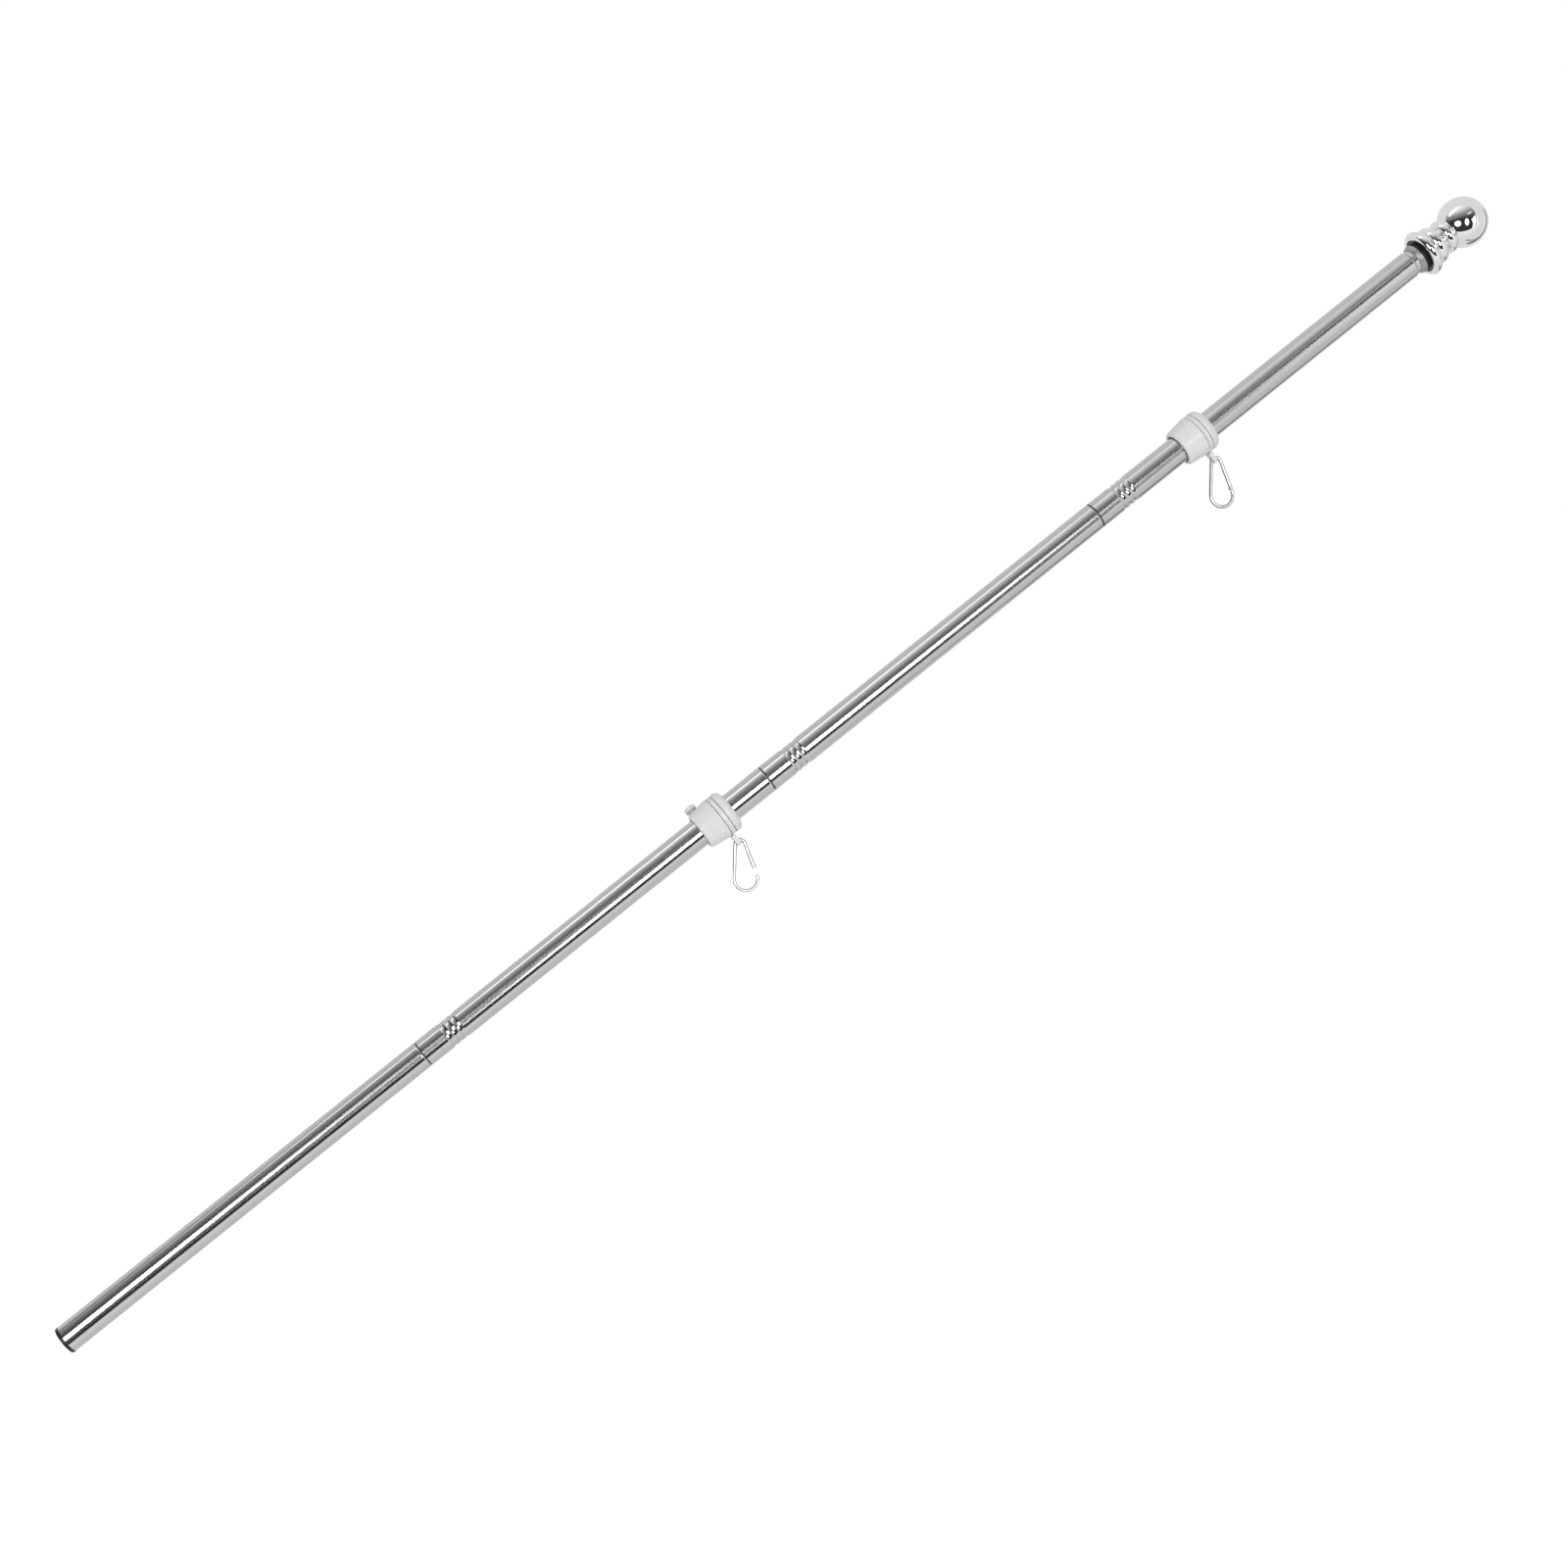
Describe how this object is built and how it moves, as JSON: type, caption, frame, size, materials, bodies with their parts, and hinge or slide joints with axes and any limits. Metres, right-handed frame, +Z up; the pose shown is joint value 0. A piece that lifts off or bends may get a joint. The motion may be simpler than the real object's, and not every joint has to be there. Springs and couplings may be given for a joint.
{
  "type": "flagpole",
  "caption": "Slim sectional steel-tube flagpole with a ball finial and sliding, turning flag collars that carry sprung wire clips.",
  "frame": {"origin": "centre of the flat foot face", "axes": "+Z up, the pole leans in the XZ plane, with +X towards the finial; +Y to its left"},
  "size_m": [1.426, 0.0475, 0.7926],
  "materials": {
    "polished_steel": "polished",
    "chrome": "mirror",
    "nickel_wire": "plated",
    "white_plastic": "moulded",
    "black_plastic": "moulded"
  },
  "bodies": {
    "pole": {"foot_plug": "black_plastic", "lower_tube": "polished_steel", "lower_middle_tube": "polished_steel", "upper_middle_tube": "polished_steel", "top_tube": "polished_steel", "finial": "chrome", "finial_ferrule": "polished_steel", "finial_bush": "black_plastic"},
    "lower_collar": {"lower_collar_body": "white_plastic", "lower_collar_cap": "white_plastic", "lower_thumb_screw": "white_plastic"},
    "lower_swivel": {"lower_swivel_ring": "white_plastic"},
    "lower_carabiner": {"lower_carabiner_hook": "nickel_wire", "lower_gate_rivet": "nickel_wire"},
    "lower_gate": {"lower_carabiner_gate": "nickel_wire"},
    "upper_collar": {"upper_collar_body": "white_plastic", "upper_collar_cap": "white_plastic", "upper_thumb_screw": "white_plastic"},
    "upper_swivel": {"upper_swivel_ring": "white_plastic"},
    "upper_carabiner": {"upper_carabiner_hook": "nickel_wire", "upper_gate_rivet": "nickel_wire"},
    "upper_gate": {"upper_carabiner_gate": "nickel_wire"}
  },
  "joints": [
    {"name": "lower_collar_slide", "type": "slide", "parent": "pole", "child": "lower_collar", "axis": [0.8788, 0, 0.4772], "range_m": [-0.29, 0.2]},
    {"name": "lower_swivel_turn", "type": "hinge", "parent": "lower_collar", "child": "lower_swivel", "pos_m": [0.62378, 0, 0.33869], "axis": [0.8788, 0, 0.4772], "continuous": true},
    {"name": "lower_carabiner_swing", "type": "hinge", "parent": "lower_swivel", "child": "lower_carabiner", "pos_m": [0.63623, 0, 0.31074], "axis": [0, 1, 0], "range_deg": [-60, 22]},
    {"name": "lower_gate_open", "type": "hinge", "parent": "lower_carabiner", "child": "lower_gate", "pos_m": [0.64571, 0, 0.28603], "axis": [0, -1, 0], "range_deg": [0, 16], "stiffness_Nm_per_rad": 0.03},
    {"name": "upper_collar_slide", "type": "slide", "parent": "pole", "child": "upper_collar", "axis": [0.8788, 0, 0.4772], "range_m": [-0.2, 0.235]},
    {"name": "upper_swivel_turn", "type": "hinge", "parent": "upper_collar", "child": "upper_swivel", "pos_m": [1.11206, 0, 0.6038], "axis": [0.8788, 0, 0.4772], "continuous": true},
    {"name": "upper_carabiner_swing", "type": "hinge", "parent": "upper_swivel", "child": "upper_carabiner", "pos_m": [1.1245, 0, 0.57585], "axis": [0, 1, 0], "range_deg": [-60, 22]},
    {"name": "upper_gate_open", "type": "hinge", "parent": "upper_carabiner", "child": "upper_gate", "pos_m": [1.13398, 0, 0.55114], "axis": [0, -1, 0], "range_deg": [0, 16], "stiffness_Nm_per_rad": 0.03}
  ]
}
